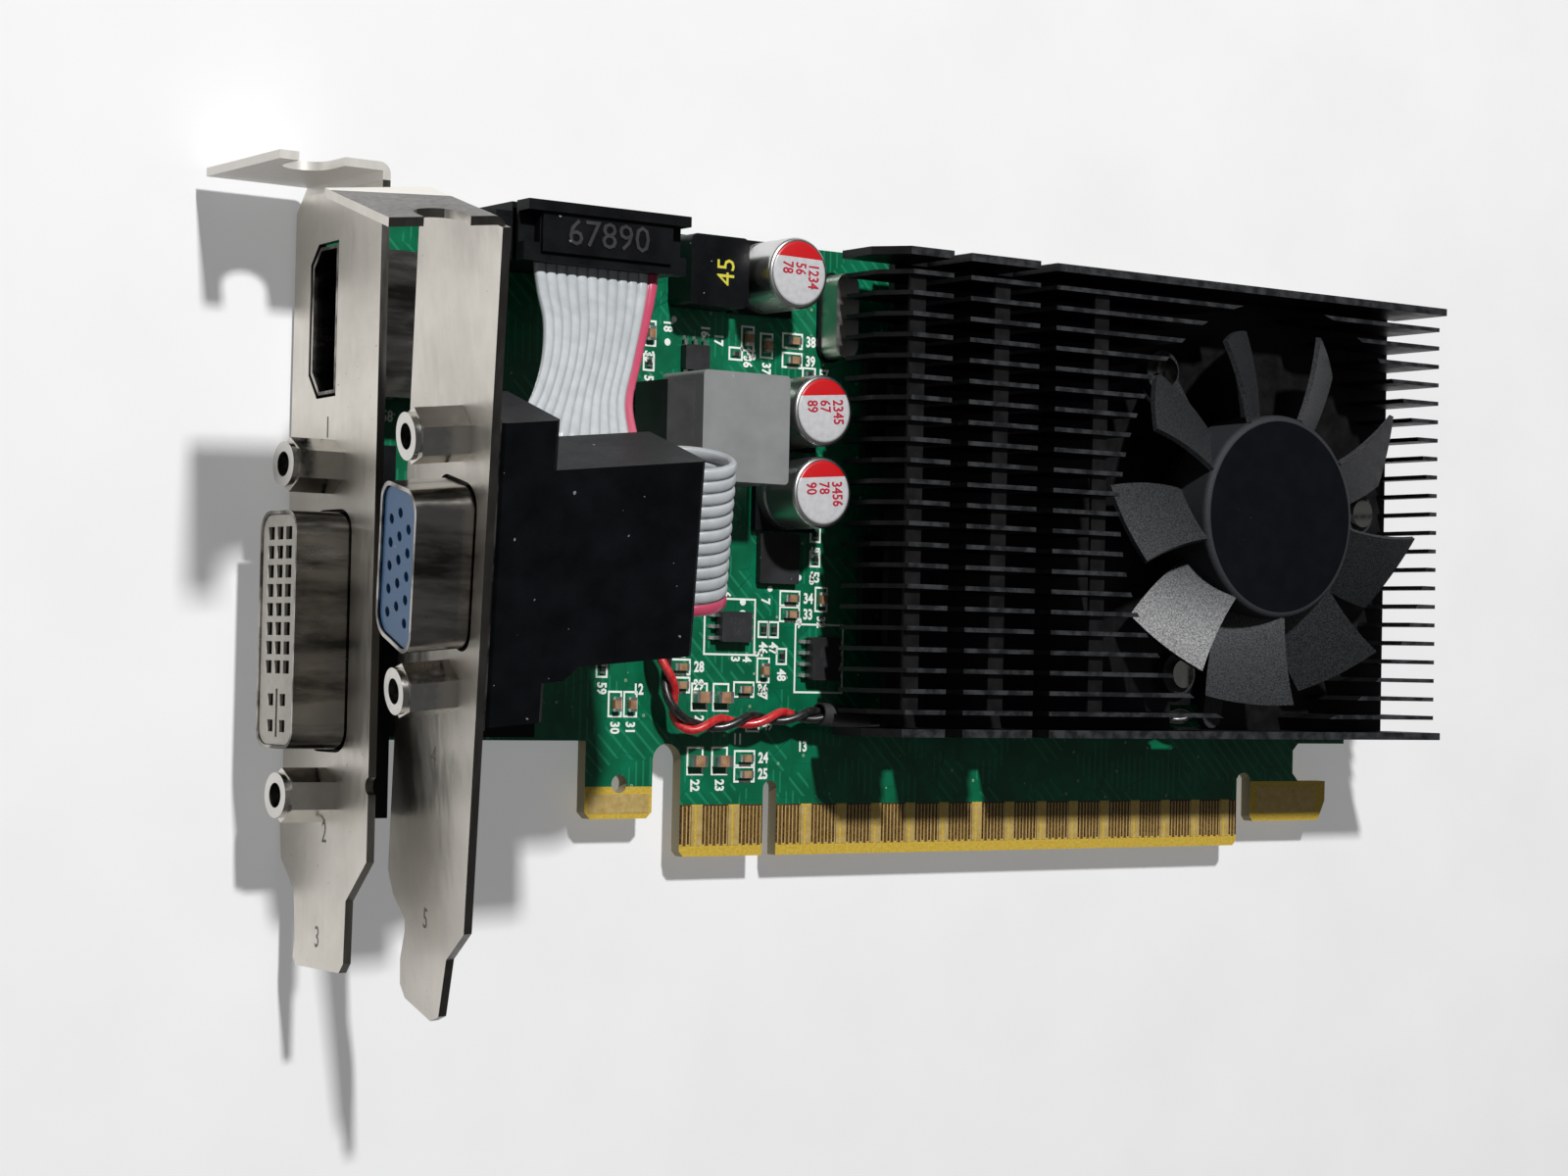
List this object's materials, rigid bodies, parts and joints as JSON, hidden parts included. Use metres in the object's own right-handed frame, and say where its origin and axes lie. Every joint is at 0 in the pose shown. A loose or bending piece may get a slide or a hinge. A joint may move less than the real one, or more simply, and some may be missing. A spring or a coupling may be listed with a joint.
{
  "type": "graphics card",
  "caption": "Low-profile graphics card with finned heatsink, fan, slot bracket with HDMI and DVI sockets, and a loose bracket with a VGA socket on a ribbon cable.",
  "frame": {"origin": "centre of the key notch, at the outer edge of the edge contacts, on the component face of the board", "axes": "+X along the card away from its bracket, +Y from the edge contacts to the top edge, +Z out of the component side"},
  "size_m": [0.1673, 0.0848, 0.0486],
  "materials": {
    "solder_mask": "green solder mask, satin gloss",
    "gold": "gold plated",
    "plated_steel": "nickel plated, polished with fine scratches",
    "screw_metal": "nickel plated",
    "shell_metal": "bright tin plated",
    "black_plastic": "moulded black",
    "ivory_plastic": "moulded ivory",
    "blue_plastic": "moulded blue",
    "white_plastic": "moulded white",
    "can_metal": "satin drawn can",
    "tin": "solder tinned",
    "ferrite_grey": "pressed grey powder core",
    "ferrite_black": "pressed dark ferrite",
    "epoxy_black": "moulded epoxy",
    "ceramic_tan": "fired ceramic",
    "package_green": "laminate",
    "silicon": "polished silicon",
    "paste_grey": "thermal compound",
    "black_aluminium": "black satin coating",
    "fan_plastic": "fine textured black",
    "bronze": "sintered",
    "lamination_steel": "stacked laminations",
    "copper": "enamelled wire",
    "shaft_steel": "ground",
    "lead_insulation": "red and black twisted pair",
    "sleeve_black": "heat-shrink sleeve",
    "ribbon_insulation": "grey with one red conductor"
  },
  "bodies": {
    "card": {"board": "solder_mask", "capacitor_bases": "black_plastic", "capacitor_cans": "can_metal", "card_bracket": "plated_steel", "ceramic_capacitors": "ceramic_tan", "chip_bodies": "epoxy_black", "chip_end_caps": "tin", "chip_leads": "tin", "chip_resistors": "epoxy_black", "choke_core": "ferrite_grey", "choke_leads": "tin", "choke_winding": "ferrite_black", "crystal": "can_metal", "crystal_foot": "black_plastic", "dvi_housing": "black_plastic", "dvi_insulator": "ivory_plastic", "dvi_jackscrews": "screw_metal", "dvi_shell": "shell_metal", "edge_contacts": "gold", "fan_bearing": "bronze", "fan_coils": "copper", "fan_frame": "fan_plastic", "fan_lead": "lead_insulation", "fan_plug": "white_plastic", "fan_screws": "screw_metal", "fan_socket": "white_plastic", "fan_stator": "lamination_steel", "fin_bank_a": "black_aluminium", "fin_bank_b": "black_aluminium", "fin_bank_c": "black_aluminium", "fin_tabs": "black_aluminium", "gpu_die": "silicon", "gpu_package": "package_green", "hdmi_contacts": "gold", "hdmi_insulator": "black_plastic", "hdmi_shell": "shell_metal", "heatsink_base": "black_aluminium", "heatsink_end_plates": "black_aluminium", "heatsink_screws": "screw_metal", "lead_sleeve": "sleeve_black", "memory_chips": "epoxy_black", "pin_header_base": "black_plastic", "pin_header_pins": "gold", "small_inductor": "black_plastic", "small_inductor_pads": "tin", "thermal_paste": "paste_grey"},
    "fan_rotor": {"fan_impeller": "fan_plastic", "fan_shaft": "shaft_steel", "rotor_cup": "shell_metal", "magnet_ring": "ferrite_black"},
    "vga_kit": {"kit_bracket": "plated_steel", "vga_shell": "shell_metal", "vga_insulator": "blue_plastic", "vga_contacts": "gold", "vga_jackscrews": "screw_metal", "hood": "black_plastic", "idc_plug": "black_plastic", "idc_clamp": "black_plastic", "ribbon_cable": "ribbon_insulation"}
  },
  "joints": [
    {"name": "fan_spin", "type": "hinge", "parent": "card", "child": "fan_rotor", "pos_m": [0.0653, 0.0407, 0.014], "axis": [0, 0, 1], "continuous": true},
    {"name": "kit_lift", "type": "slide", "parent": "card", "child": "vga_kit", "axis": [0, 0, 1], "range_m": [0, 0.02]}
  ]
}
